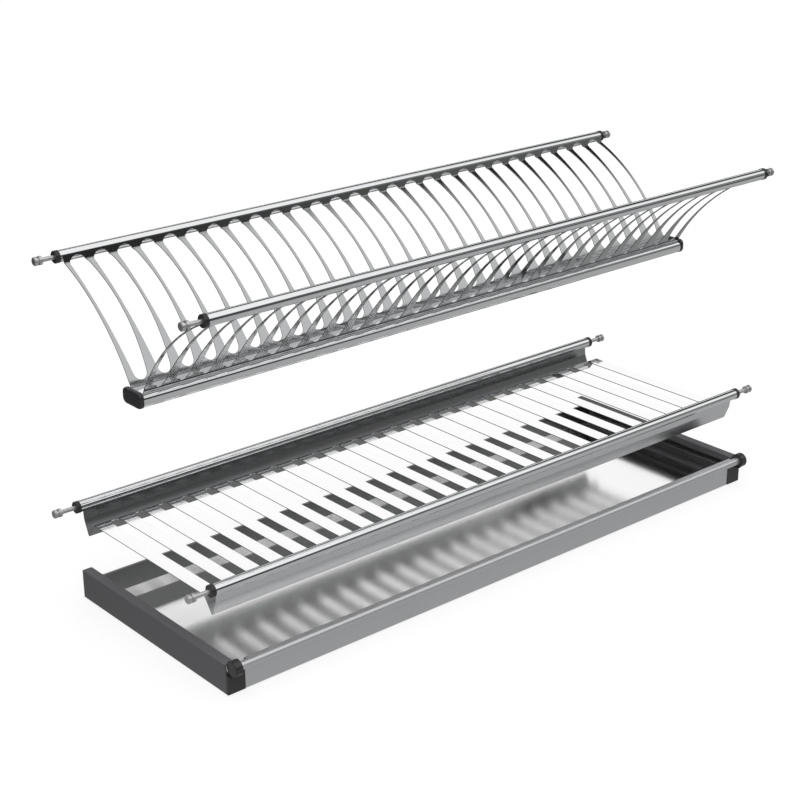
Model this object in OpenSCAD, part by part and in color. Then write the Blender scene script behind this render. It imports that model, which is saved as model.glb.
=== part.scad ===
// Cabinet dish rack: plate rack, cup rack and drip tray, hung one above another
// between the two side panels of a wall cabinet. X runs along the rails, the front
// is -Y and the origin is the centre of the tray's underside.

/* [Heights] */
// Height of the cup rack's rail axes above the tray's underside
cup_z = 115.5; // [90:0.5:200]
// Height of the plate rack's rail axes above the cup rack's rail axes
plate_rise = 293.5; // [220:0.5:400]
// How far the plate rack's centre stands in front of the tray's centre
plate_forward = 5; // [0:0.5:30]
// How far the cup rack's centre stands behind the tray's centre
cup_back = 6; // [0:0.5:30]

/* [Rails] */
// Outside diameter of the rail tubes
rail_d = 13; // [10:0.5:16]
// Wall of the rail tubes
rail_wall = 1; // [0.6:0.1:1.5]
// Length of the plate rack's rail tubes
plate_rail_l = 820; // [700:1:900]
// Length of the cup rack's rail tubes
cup_rail_l = 814; // [700:1:900]
// Distance between the plate rack's rail axes
plate_rail_gap = 274; // [240:1:320]
// Distance between the cup rack's rail axes
cup_rail_gap = 262.6; // [230:0.2:300]

/* [Plate rack] */
// Distance from one plate rib to the next
plate_pitch = 29; // [24:0.5:34]
// Number of ribs in each plate panel
plate_ribs = 29; // [9:2:31]
// Width of a plate rib at its narrowest
plate_rib_w = 3.6; // [3:0.1:6]
// Sheet thickness of the plate panels
plate_sheet = 1; // [0.8:0.1:1.6]
// Angle that the curved part of a panel bends through
panel_bow = 37; // [20:1:50]
// Length of the straight edge strip beside the rail
strip_l = 7.6; // [5:0.1:12]
// Slope of that strip below the horizontal
strip_slope = 78; // [60:1:85]
// Radius of a window's end beside the rail
window_top_r = 10.9; // [9:0.1:11.5]
// Radius of a window's end beside the base channel
window_foot_r = 8; // [6:0.1:10]
// Radius of a window's two long sides
window_side_r = 800; // [500:10:1200]
// Sheet left between a window and the base channel
foot_band = 5.5; // [3:0.5:12]

/* [Base channel] */
// Depth of the base channel's axis below the rail axes
channel_drop = 121; // [90:1:160]
// Width of the base channel, front to back
channel_w = 35; // [30:0.5:50]
// Height of the base channel
channel_h = 17; // [14:0.5:24]
// Corner radius of the base channel
channel_r = 7; // [4:0.5:8]
// Wall of the base channel
channel_wall = 1.2; // [0.8:0.1:2]
// Distance between the two panels' feet on the channel
feet_gap = 22; // [18:0.5:24]
// Length of a drain slot
drain_l = 15; // [8:0.5:20]
// Width of a drain slot
drain_w = 4; // [2:0.5:6]
// Thickness of a channel end cap's rim
cap_t = 5; // [3:0.5:8]
// How far an end cap stands proud of the channel at its sides
cap_proud = 1; // [0.5:0.1:2]
// How far an end cap rises above the channel, over the panels' feet
cap_rise = 3.5; // [0:0.5:6]

/* [Cup rack] */
// Distance from one cup rib to the next
cup_pitch = 31.5; // [26:0.5:36]
// Number of ribs in the cup panel
cup_ribs_n = 26; // [8:2:28]
// Width of a cup rib
cup_rib_w = 18; // [12:0.5:22]
// Sheet thickness of the cup rack
cup_sheet = 1; // [0.8:0.1:1.6]
// Depth of the rib plane below the rail axes
cup_rib_drop = 16.5; // [12:0.5:20]
// Depth of the edge fold below the rail axes
fold_drop = 35; // [28:0.5:45]
// Distance of the edge fold inwards from the rail axis
fold_in = 10.5; // [8:0.5:14]
// Distance of the rib plane's edge inwards from the rail axis
cup_rib_in = 24; // [20:0.5:32]
// Depth of the edge strip's upper bend below the rail axes
bend_drop = 16; // [12:0.5:20]
// Distance of that bend inwards from the rail axis
bend_in = 2.5; // [1:0.5:6]

/* [Bushes and pins] */
// Diameter of a bush's collar
bush_d = 15.6; // [14:0.1:18]
// Length of a bush's collar
bush_l = 6; // [4:0.5:10]
// Length of a bush's plug inside the tube
plug_l = 14; // [8:0.5:20]
// Diameter of a pin's shaft
pin_d = 5; // [4:0.5:7]
// Diameter of a pin's head
head_d = 9.6; // [8:0.1:12]
// Diameter of the groove in a pin's head
groove_d = 6.2; // [5.5:0.1:7.5]
// Length of a pin's head
head_l = 9; // [7:0.5:12]
// Width of the groove in a pin's head
groove_w = 2.6; // [2:0.1:4]
// Distance between the heads' outer ends of two opposite pins, both drawn out
pin_span = 878; // [860:1:960]
// How far the plate rack's right pins stand pushed in
pin_pushed = 9; // [0:0.5:12]

/* [Drip tray] */
// Length of the tray over its side profiles
tray_l = 813; // [700:1:900]
// Depth of the side profiles, front to back
tray_d = 284; // [240:1:320]
// Height of the side profiles
side_h = 34; // [28:0.5:50]
// Width of the side profiles' top
side_top_w = 12; // [10:0.5:18]
// Wall of the side profiles
side_wall = 2; // [1.4:0.1:3]
// Distance of the rear wall in front of the side profiles' rear ends
rear_inset = 27; // [10:1:60]
// Thickness of the pan and the steel walls
tray_sheet = 1; // [0.8:0.1:1.6]
// Diameter of the bead along the front
bead_d = 9.5; // [6:0.5:12]
// Height of the bead's axis above the underside
bead_z = 32; // [24:0.5:40]
// Distance of the bead's axis in front of the tray's face
bead_out = 5.5; // [0:0.5:8]
// Width of a front corner cap
corner_w = 22; // [14:0.5:30]
// Diameter of a corner cap's knob
knob_d = 18; // [14:0.5:24]
// Length of a knob beyond the bead's end
knob_l = 9; // [5:0.5:16]

/* [Hidden] */
$fn = 64;
polished = "Gainsboro";
satin = "LightGray";
metal = "Silver";
dark = "DimGray";
black = [0.1, 0.1, 0.1];

// How far a cut runs past the solid that it cuts
overrun = 1;
// Clearance of a bush's plug in its tube, on the radius
plug_fit = 0.05;
// Running clearance of a pin in its bush, on the radius
pin_fit = 0.05;
// Clearance of a clip in its groove, on the radius
clip_fit = 0.05;
// Gap between a clip and the bush that stops it
stop_gap = 0.3;
// Gap between pieces of the tray where one holds another
tray_fit = 0.2;
// Gap round an end cap's plug in the base channel
cap_fit = 0.1;
// Size of the chamfer on a bush's collar and on a pin's head
rim_chamfer = 0.8;
// Width and depth of the ring groove round a bush's collar
bush_groove = 1;
// Thickness of a clip, depth of its groove in the pin's tail and tail left behind it
clip_t = 1;
clip_groove = 0.6;
tail_l = 1.5;
// How far a clip stands out of the pin's shaft
clip_proud = 1.6;
// Length of an end cap's plug in the base channel
cap_plug_l = 10;
// Wall of that plug
cap_plug_wall = 2;
// Where the edge strip of the cup rack leaves its rail's underside, inwards from the axis
flange_start = 1.5;
// Width and height of the lips on the channel outside the panels' feet
lip_w = 1.6;
lip_h = 2;
// Gap between such a lip and the panel's foot
lip_gap = 0.15;
// Width and height of a side profile's inner lip
rim_w = 1.6;
rim_h = 8;
// Width, height and thickness of a side profile's inner ledge
ledge_w = 10;
ledge_z = 16;
ledge_t = 1.6;
// Thickness of a side profile's foot on the pan
foot_t = 1.8;
// Height of the pan's turned-up edges
pan_edge = 8;
// Height and thickness of a front corner cap's plate, and how far it stands proud
corner_h = 22.5;
corner_t = 2.5;
corner_proud = 0.8;
// Depth of the rear wall's hem along its upper edge
rear_hem = 3;

plate_z = cup_z + plate_rise;
plate_y = -plate_forward;
cup_y = cup_back;
rail_r = rail_d / 2;
rail_bore = rail_d - 2 * rail_wall;

// Section of a plate panel, in (inwards, upwards) from its rail's axis
strip_line = rail_r + plate_sheet / 2;
strip_start = strip_line * [sin(strip_slope), cos(strip_slope)];
crease = strip_start + strip_l * [cos(strip_slope), -sin(strip_slope)];
foot = [(plate_rail_gap - feet_gap) / 2, channel_h / 2 - channel_drop];
chord = norm(foot - crease);
chord_slope = atan2(crease[1] - foot[1], foot[0] - crease[0]);
arc_r = chord / (2 * sin(panel_bow / 2));
arc_centre = (crease + foot) / 2
    - arc_r * cos(panel_bow / 2) * [sin(chord_slope), cos(chord_slope)];
// The strip runs a little past the crease and the curve starts a little before it
arc_slope = chord_slope - panel_bow / 2;
strip_end = crease + plate_sheet / 4 * [cos(strip_slope), -sin(strip_slope)];
arc_start = crease - plate_sheet / 5 * [cos(arc_slope), -sin(arc_slope)];
plate_panel_l = (plate_ribs - 1) * plate_pitch + plate_rib_w;

// Outline of a window in a plate panel, measured along the panel's chord from the crease
window_w = plate_pitch - plate_rib_w;
side_off = window_side_r - window_w / 2;
top_reach = sqrt(pow(window_side_r - window_top_r, 2) - pow(side_off, 2));
foot_reach = sqrt(pow(window_side_r - window_foot_r, 2) - pow(side_off, 2));
window_foot_c = chord - foot_band - window_foot_r;
window_mid_c = window_foot_c - foot_reach;
window_top_c = window_mid_c - top_reach;
// The chord places where the long sides give way to the round ends
top_cut = window_top_c - window_top_r * top_reach / (window_side_r - window_top_r)
    + plate_sheet;
foot_cut = window_foot_c + window_foot_r * foot_reach / (window_side_r - window_foot_r)
    - plate_sheet;

// Section of the cup rack's folded edge strip, in (inwards, upwards) from its rail's axis
flange_top = [flange_start, -rail_r * cos(asin(flange_start / rail_r))];
flange_bend = [bend_in, -bend_drop];
flange_fold = [fold_in, -fold_drop];
flange_end = [cup_rib_in, -cup_rib_drop];
cup_panel_l = (cup_ribs_n - 1) * cup_pitch + cup_rib_w;
cup_window_w = cup_pitch - cup_rib_w;

// Places along X of the pins and bushes
pin_tip = pin_span / 2;
clip_r = pin_d / 2 + clip_proud;

// Places of the tray's pieces
front_y = -tray_d / 2;
rear_wall_y = tray_d / 2 - rear_inset;
pan_l = tray_l - 2 * side_wall - 2 * tray_fit;
between_sides = tray_l - 2 * side_top_w - 2 * tray_fit;
knob_end = tray_l / 2 - 2 * rim_chamfer - rim_chamfer / 2;
channel_l = plate_rail_l;
foot_half = plate_sheet / 2 / sin(chord_slope + panel_bow / 2);
lip_y = feet_gap / 2 + foot_half + lip_h / tan(chord_slope + panel_bow / 2) + lip_gap;

// A bar of the given length along X, centred, with its section drawn in (Y, Z)
module along_x(l) {
    rotate([90, 0, 90]) translate([0, 0, -l / 2]) linear_extrude(l) children();
}

// A cylinder along X that starts at x
module rod(x, l, d) {
    translate([x, 0, 0]) rotate([0, 90, 0]) cylinder(h = l, d = d);
}

// The unit normal of the run from point i to the next, and the offset of point i's corner
function side_of(p, i) = let (d = (p[i + 1] - p[i]) / norm(p[i + 1] - p[i])) [-d[1], d[0]];
function corner(p, i) =
    i == 0 ? side_of(p, 0)
    : i == len(p) - 1 ? side_of(p, i - 1)
    : (side_of(p, i - 1) + side_of(p, i)) / (1 + side_of(p, i - 1) * side_of(p, i));

// A sheet folded along the given points of its middle line
module folded(p, t) {
    last = len(p) - 1;
    polygon([for (i = [0 : last]) p[i] + t / 2 * corner(p, i),
             for (i = [last : -1 : 0]) p[i] - t / 2 * corner(p, i)]);
}

// A rectangle with round corners
module rounded(w, h, r) {
    square([w - 2 * r, h], center = true);
    square([w, h - 2 * r], center = true);
    for (x = [-1, 1], y = [-1, 1])
        translate([x * (w / 2 - r), y * (h / 2 - r)]) circle(r = r);
}

// Sets its children, modelled for the front edge, on the front (-1) or the rear (1)
module on_edge(side, y, gap, z) {
    translate([0, y + side * gap / 2, z]) mirror([0, side > 0 ? 1 : 0, 0]) children();
}

// Sets its children, modelled for the right end, at the right (1) or the left (-1)
module at_end(end) {
    mirror([end < 0 ? 1 : 0, 0, 0]) children();
}

module rail_tube(l) {
    difference() {
        rod(-l / 2, l, rail_d);
        rod(-l / 2 - overrun, l + 2 * overrun, rail_bore);
    }
}

// The curved part of a plate panel's section, down to the channel
module panel_curve() {
    far = 2 * arc_r;
    low = foot[1] - plate_sheet;
    difference() {
        intersection() {
            translate(arc_centre) difference() {
                circle(r = arc_r + plate_sheet / 2, $fn = 720);
                circle(r = arc_r - plate_sheet / 2, $fn = 720);
            }
            polygon([arc_centre, arc_centre + 2 * (arc_start - arc_centre),
                     [far, far], [far, low], [0, low]]);
        }
        translate([plate_rail_gap / 2, -channel_drop])
            rounded(channel_w, channel_h, channel_r);
    }
}

// A window: two long arcs for its sides and a round end at each end
module window_outline() {
    intersection() {
        translate([-side_off, window_mid_c]) circle(r = window_side_r, $fn = 1440);
        translate([side_off, window_mid_c]) circle(r = window_side_r, $fn = 1440);
        translate([-window_w, top_cut]) square([2 * window_w, foot_cut - top_cut]);
    }
    translate([0, window_top_c]) circle(r = window_top_r);
    translate([0, window_foot_c]) circle(r = window_foot_r);
}

// A stamped plate panel with its rail's axis at the origin, for the front edge
module plate_panel() {
    depth = 2 * rail_d;
    difference() {
        union() {
            along_x(plate_panel_l) panel_curve();
            along_x(plate_panel_l) folded([strip_start, strip_end], plate_sheet);
        }
        for (i = [0 : plate_ribs - 2])
            translate([(i - plate_ribs / 2 + 1) * plate_pitch, crease[0], crease[1]])
                rotate([-chord_slope, 0, 0])
                    translate([0, 0, -depth]) linear_extrude(3 * depth) window_outline();
    }
}

// A bush in the right end of a rail of length l: a collar outside and a plug inside
module bush(l) {
    x = l / 2;
    bore = pin_d + 2 * pin_fit;
    difference() {
        union() {
            rod(x, bush_l - rim_chamfer, bush_d);
            translate([x + bush_l - rim_chamfer, 0, 0]) rotate([0, 90, 0])
                cylinder(h = rim_chamfer, d1 = bush_d, d2 = bush_d - 2 * rim_chamfer);
            rod(x - plug_l, plug_l, rail_bore - 2 * plug_fit);
        }
        rod(x - plug_l - overrun, plug_l + bush_l + 2 * overrun, bore);
        difference() {
            rod(x + (bush_l - bush_groove) / 2, bush_groove, bush_d + overrun);
            rod(x, bush_l, bush_d - 2 * bush_groove);
        }
    }
}

// Distance from a pin's tip to the outer face of the clip that stops it in its bush
function clip_at(l) = pin_tip - l / 2 + plug_l + stop_gap;

// A telescopic pin with its tip drawn out to the right, pushed in by the given travel
module pin(l, pushed) {
    disc = (head_l - groove_w) / 2;
    whole = clip_at(l) + clip_t + tail_l;
    translate([pin_tip - pushed, 0, 0]) difference() {
        union() {
            translate([-rim_chamfer, 0, 0]) rotate([0, 90, 0])
                cylinder(h = rim_chamfer, d1 = head_d, d2 = head_d - 2 * rim_chamfer);
            rod(-disc, disc - rim_chamfer, head_d);
            rod(-disc - groove_w, groove_w, groove_d);
            rod(-head_l, disc, head_d);
            rod(-whole, whole - head_l, pin_d);
        }
        difference() {
            rod(-clip_at(l) - clip_t, clip_t, pin_d + overrun);
            rod(-whole, whole, pin_d - 2 * clip_groove);
        }
    }
}

// The clip in a pin's tail, inside the rail
module clip(l, pushed) {
    translate([pin_tip - pushed, 0, 0]) difference() {
        rod(-clip_at(l) - clip_t, clip_t, 2 * clip_r);
        rod(-clip_at(l) - clip_t - overrun, clip_t + 2 * overrun,
            pin_d - 2 * clip_groove + 2 * clip_fit);
    }
}

module channel_body() {
    difference() {
        along_x(channel_l) difference() {
            union() {
                rounded(channel_w, channel_h, channel_r);
                for (side = [-1, 1])
                    translate([side * (lip_y + lip_w / 2), (channel_h + lip_h - channel_r) / 2])
                        square([lip_w, lip_h + channel_r], center = true);
            }
            rounded(channel_w - 2 * channel_wall, channel_h - 2 * channel_wall,
                    channel_r - channel_wall);
        }
        for (i = [0 : plate_ribs - 2])
            translate([(i - plate_ribs / 2 + 1) * plate_pitch, 0, 0])
                linear_extrude(channel_h) {
                    square([drain_l - drain_w, drain_w], center = true);
                    for (x = [-1, 1]) translate([x * (drain_l - drain_w) / 2, 0])
                        circle(d = drain_w);
                }
    }
}

// An end cap on the right end of the base channel
module channel_cap() {
    inner = 2 * (channel_wall + cap_fit);
    translate([channel_l / 2 + cap_t / 2, 0, cap_rise / 2]) along_x(cap_t)
        rounded(channel_w + 2 * cap_proud, channel_h + cap_rise, channel_r + cap_proud);
    translate([channel_l / 2 - cap_plug_l / 2, 0, 0]) along_x(cap_plug_l) difference() {
        rounded(channel_w - inner, channel_h - inner, channel_r - inner / 2);
        rounded(channel_w - inner - 2 * cap_plug_wall, channel_h - inner - 2 * cap_plug_wall,
                channel_r - inner / 2 - cap_plug_wall);
    }
}

// The folded edge strip of the cup rack, with its rail's axis at the origin
module cup_flange() {
    along_x(cup_panel_l) difference() {
        folded([flange_top, flange_bend, flange_fold,
                flange_end + (flange_end - flange_fold) / cup_rib_in], cup_sheet);
        circle(d = rail_d);
        translate([cup_rib_in, -cup_rib_drop - fold_drop / 2]) square(fold_drop);
    }
}

module cup_panel() {
    depth = cup_rail_gap - 2 * cup_rib_in;
    window_l = depth - cup_window_w;
    translate([0, 0, -cup_sheet / 2]) difference() {
        linear_extrude(cup_sheet) square([cup_panel_l, depth], center = true);
        for (i = [0 : cup_ribs_n - 2])
            translate([(i - cup_ribs_n / 2 + 1) * cup_pitch, 0, -overrun])
                linear_extrude(cup_sheet + 2 * overrun) {
                    square([cup_window_w, window_l - 2 * cup_sheet], center = true);
                    for (y = [-1, 1]) translate([0, y * (window_l / 2 - cup_sheet)])
                        circle(d = cup_window_w);
                }
    }
}

// Section of the right side profile in (X from its outer face, Z)
module side_section() {
    translate([-side_wall, 0]) square([side_wall, side_h]);
    translate([-side_top_w, side_h - side_wall]) square([side_top_w, side_wall]);
    translate([-side_top_w, side_h - rim_h]) square([rim_w, rim_h]);
    translate([-ledge_w, ledge_z]) square([ledge_w, ledge_t]);
    translate([-side_top_w, tray_sheet]) square([side_top_w, foot_t]);
}

// The right side profile, cut round the knob of its corner cap
module tray_side() {
    difference() {
        translate([tray_l / 2, tray_d / 2, 0]) rotate([90, 0, 0])
            linear_extrude(tray_d - corner_t - tray_fit) side_section();
        translate([0, front_y - bead_out, bead_z])
            rod(tray_l / 2 - 2 * knob_l, 3 * knob_l, knob_d + 2 * tray_fit);
    }
}

// The right front corner cap: a knob over the bead's end, an arm and a plate below it
module tray_corner() {
    translate([0, front_y - bead_out, bead_z]) difference() {
        union() {
            rod(knob_end - knob_l, knob_l - rim_chamfer, knob_d);
            translate([knob_end - rim_chamfer, 0, 0]) rotate([0, 90, 0])
                cylinder(h = rim_chamfer, d1 = knob_d, d2 = knob_d - 2 * rim_chamfer);
        }
        rod(knob_end - knob_l - overrun, knob_l / 2 + overrun, bead_d + 2 * tray_fit);
    }
    translate([knob_end - knob_l / 2, front_y - bead_out, corner_h - corner_t])
        cube([knob_l / 2 - rim_chamfer, bead_out + corner_t, side_h - corner_h]);
    translate([tray_l / 2 - corner_w, front_y - corner_proud, 0])
        cube([corner_w, corner_t + corner_proud, corner_h]);
}

// Section of the front profile in (Y from the tray's face, Z): face, top strip and bead
module front_section() {
    top = bead_z + bead_d / 2;
    difference() {
        union() {
            translate([-bead_out, bead_z]) circle(d = bead_d);
            square([tray_sheet, top]);
            translate([-bead_out, top - tray_sheet])
                square([bead_out + tray_sheet, tray_sheet]);
        }
        translate([-bead_out, bead_z]) circle(d = bead_d - 2 * tray_sheet);
    }
}

// The steel front: the whole section between the corner caps, its bead alone in their knobs
module tray_front() {
    bead_l = 2 * (knob_end - knob_l / 2 - tray_fit);
    face_l = tray_l - 2 * corner_w - 2 * tray_fit;
    translate([0, front_y, 0]) {
        along_x(face_l) front_section();
        along_x(bead_l) translate([-bead_out, bead_z]) difference() {
            circle(d = bead_d);
            circle(d = bead_d - 2 * tray_sheet);
        }
    }
}

module pan() {
    back = rear_wall_y + tray_sheet;
    front = front_y + tray_sheet + tray_fit;
    notch = corner_w + tray_fit - side_wall;
    difference() {
        union() {
            translate([-pan_l / 2, front, 0]) cube([pan_l, back - front, tray_sheet]);
            for (y = [front, rear_wall_y - tray_sheet])
                translate([-between_sides / 2, y, 0])
                    cube([between_sides, tray_sheet, pan_edge]);
        }
        for (end = [-1, 1])
            translate([end * pan_l / 2 - notch, front_y, -overrun])
                cube([2 * notch, corner_t + tray_fit, pan_edge + 2 * overrun]);
    }
}

module rear_wall() {
    translate([-between_sides / 2, rear_wall_y, tray_sheet])
        cube([between_sides, tray_sheet, side_h - tray_sheet]);
    translate([-between_sides / 2, rear_wall_y, side_h - tray_sheet])
        cube([between_sides, rear_hem, tray_sheet]);
}

module plate_rear_rail() {
    color(polished) on_edge(1, plate_y, plate_rail_gap, plate_z) rail_tube(plate_rail_l);
}

module plate_front_rail() {
    color(polished) on_edge(-1, plate_y, plate_rail_gap, plate_z) rail_tube(plate_rail_l);
}

module plate_rear_ribs() {
    color(polished) on_edge(1, plate_y, plate_rail_gap, plate_z) plate_panel();
}

module plate_front_ribs() {
    color(polished) on_edge(-1, plate_y, plate_rail_gap, plate_z) plate_panel();
}

module base_channel() {
    color(polished) translate([0, plate_y, plate_z - channel_drop]) channel_body();
}

module base_cap_left() {
    color(black) translate([0, plate_y, plate_z - channel_drop]) at_end(-1) channel_cap();
}

module base_cap_right() {
    color(black) translate([0, plate_y, plate_z - channel_drop]) at_end(1) channel_cap();
}

module plate_bush_rear_left() {
    color(black) on_edge(1, plate_y, plate_rail_gap, plate_z)
        at_end(-1) bush(plate_rail_l);
}

module plate_bush_rear_right() {
    color(black) on_edge(1, plate_y, plate_rail_gap, plate_z)
        at_end(1) bush(plate_rail_l);
}

module plate_bush_front_left() {
    color(black) on_edge(-1, plate_y, plate_rail_gap, plate_z)
        at_end(-1) bush(plate_rail_l);
}

module plate_bush_front_right() {
    color(black) on_edge(-1, plate_y, plate_rail_gap, plate_z)
        at_end(1) bush(plate_rail_l);
}

module plate_pin_rear_left() {
    color(metal) on_edge(1, plate_y, plate_rail_gap, plate_z)
        at_end(-1) pin(plate_rail_l, 0);
}

module plate_pin_rear_right() {
    color(metal) on_edge(1, plate_y, plate_rail_gap, plate_z)
        at_end(1) pin(plate_rail_l, pin_pushed);
}

module plate_pin_front_left() {
    color(metal) on_edge(-1, plate_y, plate_rail_gap, plate_z)
        at_end(-1) pin(plate_rail_l, 0);
}

module plate_pin_front_right() {
    color(metal) on_edge(-1, plate_y, plate_rail_gap, plate_z)
        at_end(1) pin(plate_rail_l, pin_pushed);
}

module plate_clip_rear_left() {
    color(metal) on_edge(1, plate_y, plate_rail_gap, plate_z)
        at_end(-1) clip(plate_rail_l, 0);
}

module plate_clip_rear_right() {
    color(metal) on_edge(1, plate_y, plate_rail_gap, plate_z)
        at_end(1) clip(plate_rail_l, pin_pushed);
}

module plate_clip_front_left() {
    color(metal) on_edge(-1, plate_y, plate_rail_gap, plate_z)
        at_end(-1) clip(plate_rail_l, 0);
}

module plate_clip_front_right() {
    color(metal) on_edge(-1, plate_y, plate_rail_gap, plate_z)
        at_end(1) clip(plate_rail_l, pin_pushed);
}

module cup_rear_rail() {
    color(polished) on_edge(1, cup_y, cup_rail_gap, cup_z) rail_tube(cup_rail_l);
}

module cup_front_rail() {
    color(polished) on_edge(-1, cup_y, cup_rail_gap, cup_z) rail_tube(cup_rail_l);
}

module cup_rear_flange() {
    color(polished) on_edge(1, cup_y, cup_rail_gap, cup_z) cup_flange();
}

module cup_front_flange() {
    color(polished) on_edge(-1, cup_y, cup_rail_gap, cup_z) cup_flange();
}

module cup_ribs() {
    color(polished) translate([0, cup_y, cup_z - cup_rib_drop]) cup_panel();
}

module cup_bush_rear_left() {
    color(black) on_edge(1, cup_y, cup_rail_gap, cup_z)
        at_end(-1) bush(cup_rail_l);
}

module cup_bush_rear_right() {
    color(black) on_edge(1, cup_y, cup_rail_gap, cup_z)
        at_end(1) bush(cup_rail_l);
}

module cup_bush_front_left() {
    color(black) on_edge(-1, cup_y, cup_rail_gap, cup_z)
        at_end(-1) bush(cup_rail_l);
}

module cup_bush_front_right() {
    color(black) on_edge(-1, cup_y, cup_rail_gap, cup_z)
        at_end(1) bush(cup_rail_l);
}

module cup_pin_rear_left() {
    color(metal) on_edge(1, cup_y, cup_rail_gap, cup_z)
        at_end(-1) pin(cup_rail_l, 0);
}

module cup_pin_rear_right() {
    color(metal) on_edge(1, cup_y, cup_rail_gap, cup_z)
        at_end(1) pin(cup_rail_l, 0);
}

module cup_pin_front_left() {
    color(metal) on_edge(-1, cup_y, cup_rail_gap, cup_z)
        at_end(-1) pin(cup_rail_l, 0);
}

module cup_pin_front_right() {
    color(metal) on_edge(-1, cup_y, cup_rail_gap, cup_z)
        at_end(1) pin(cup_rail_l, 0);
}

module cup_clip_rear_left() {
    color(metal) on_edge(1, cup_y, cup_rail_gap, cup_z)
        at_end(-1) clip(cup_rail_l, 0);
}

module cup_clip_rear_right() {
    color(metal) on_edge(1, cup_y, cup_rail_gap, cup_z)
        at_end(1) clip(cup_rail_l, 0);
}

module cup_clip_front_left() {
    color(metal) on_edge(-1, cup_y, cup_rail_gap, cup_z)
        at_end(-1) clip(cup_rail_l, 0);
}

module cup_clip_front_right() {
    color(metal) on_edge(-1, cup_y, cup_rail_gap, cup_z)
        at_end(1) clip(cup_rail_l, 0);
}

module tray_side_left() {
    color(dark) at_end(-1) tray_side();
}

module tray_side_right() {
    color(dark) at_end(1) tray_side();
}

module tray_pan() {
    color(satin) pan();
}

module tray_front_profile() {
    color(satin) tray_front();
}

module tray_rear_wall() {
    color(satin) rear_wall();
}

module tray_corner_left() {
    color(black) at_end(-1) tray_corner();
}

module tray_corner_right() {
    color(black) at_end(1) tray_corner();
}

plate_rear_rail();
plate_front_rail();
plate_rear_ribs();
plate_front_ribs();
base_channel();
base_cap_left();
base_cap_right();
plate_bush_rear_left();
plate_bush_rear_right();
plate_bush_front_left();
plate_bush_front_right();
plate_pin_rear_left();
plate_pin_rear_right();
plate_pin_front_left();
plate_pin_front_right();
plate_clip_rear_left();
plate_clip_rear_right();
plate_clip_front_left();
plate_clip_front_right();
cup_rear_rail();
cup_front_rail();
cup_rear_flange();
cup_front_flange();
cup_ribs();
cup_bush_rear_left();
cup_bush_rear_right();
cup_bush_front_left();
cup_bush_front_right();
cup_pin_rear_left();
cup_pin_rear_right();
cup_pin_front_left();
cup_pin_front_right();
cup_clip_rear_left();
cup_clip_rear_right();
cup_clip_front_left();
cup_clip_front_right();
tray_side_left();
tray_side_right();
tray_pan();
tray_front_profile();
tray_rear_wall();
tray_corner_left();
tray_corner_right();
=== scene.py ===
import math

import bmesh
import bpy
import numpy as np
from bpy.props import FloatProperty, FloatVectorProperty, IntProperty, PointerProperty
from mathutils import Matrix, Vector


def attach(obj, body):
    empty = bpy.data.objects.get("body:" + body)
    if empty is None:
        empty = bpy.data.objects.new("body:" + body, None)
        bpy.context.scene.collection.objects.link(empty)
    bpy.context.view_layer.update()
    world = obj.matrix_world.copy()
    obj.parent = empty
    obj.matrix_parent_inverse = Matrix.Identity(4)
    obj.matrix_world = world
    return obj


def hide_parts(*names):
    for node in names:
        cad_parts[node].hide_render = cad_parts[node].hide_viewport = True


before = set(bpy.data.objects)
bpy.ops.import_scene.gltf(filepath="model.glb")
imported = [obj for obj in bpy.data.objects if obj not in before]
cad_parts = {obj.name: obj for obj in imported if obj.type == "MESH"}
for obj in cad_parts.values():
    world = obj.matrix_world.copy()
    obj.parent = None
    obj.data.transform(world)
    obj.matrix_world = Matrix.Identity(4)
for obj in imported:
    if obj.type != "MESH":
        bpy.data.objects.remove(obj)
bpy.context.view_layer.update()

bl_info = {
    "name": "Cabinet dish rack",
    "version": (1, 0, 0),
    "blender": (4, 5, 0),
    "location": "View3D > Sidebar > Dish rack",
    "description": "Finishes and studio for a cabinet dish rack with a drip tray",
    "category": "Object",
}

MM = 0.001
# Which way the ends lie along X, and the edges along Y
END = {"left": -1, "right": 1}
EDGE = {"rear": 1, "front": -1}


# ---------------------------------------------------------------- node trees
class Socket:
    """A node's output with arithmetic: an expression on it adds Math nodes."""

    def __init__(self, tree, out):
        self.tree, self.out = tree, out

    def _math(self, operation, *values):
        return self.tree.node("ShaderNodeMath", {"operation": operation}, dict(enumerate(values)))

    def __add__(self, other):
        return self._math("ADD", self, other)

    __radd__ = __add__

    def __mul__(self, other):
        return self._math("MULTIPLY", self, other)

    __rmul__ = __mul__

    def __sub__(self, other):
        return self._math("SUBTRACT", self, other)

    def __rsub__(self, other):
        return self._math("SUBTRACT", other, self)

    def __abs__(self):
        return self._math("ABSOLUTE", self)


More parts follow.
